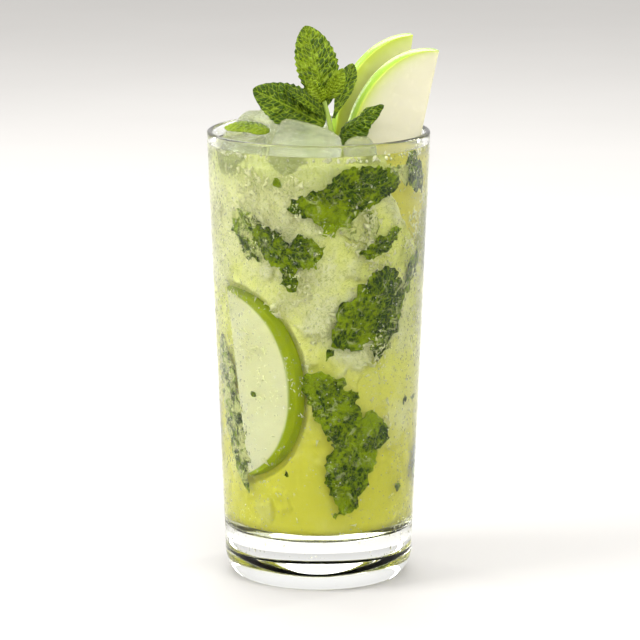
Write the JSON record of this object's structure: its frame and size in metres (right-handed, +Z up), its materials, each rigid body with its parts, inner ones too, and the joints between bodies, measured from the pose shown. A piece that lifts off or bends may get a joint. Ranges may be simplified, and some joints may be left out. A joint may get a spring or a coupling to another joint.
{
  "type": "mojito cocktail",
  "caption": "Tall clear tumbler of cloudy pale green iced drink, with mint, lumps of ice and thin slices of green apple standing at its rim.",
  "frame": {"origin": "centre of the ring that the glass stands on", "axes": "+X towards the side where the apple slices lean on the rim, -Y the front where the mint stands, +Z up"},
  "size_m": [0.0778, 0.075, 0.1876],
  "materials": {
    "glass": "clear, polished",
    "drink": "cloudy pale green liquid",
    "ice": "wet, partly frosted",
    "apple": "moist flesh with a thin green skin",
    "mint_leaf": "crinkled leaf, soft sheen",
    "mint_stem": "smooth stalk"
  },
  "bodies": {
    "root": {"apple_slice_back": "apple", "apple_slice_front": "apple", "drink": "drink", "glass": "glass", "ice_centre": "ice", "ice_front": "ice", "ice_front_small": "ice", "ice_left": "ice", "ice_left_edge": "ice", "ice_middle": "ice", "ice_rear": "ice", "ice_rear_edge": "ice", "ice_rear_left": "ice", "ice_rear_right": "ice", "mint_leaf_back": "mint_leaf", "mint_leaf_bud_left": "mint_leaf", "mint_leaf_bud_right": "mint_leaf", "mint_leaf_left": "mint_leaf", "mint_leaf_left_young": "mint_leaf", "mint_leaf_loose": "mint_leaf", "mint_leaf_right": "mint_leaf", "mint_leaf_tall": "mint_leaf", "mint_stem": "mint_stem"}
  },
  "joints": []
}
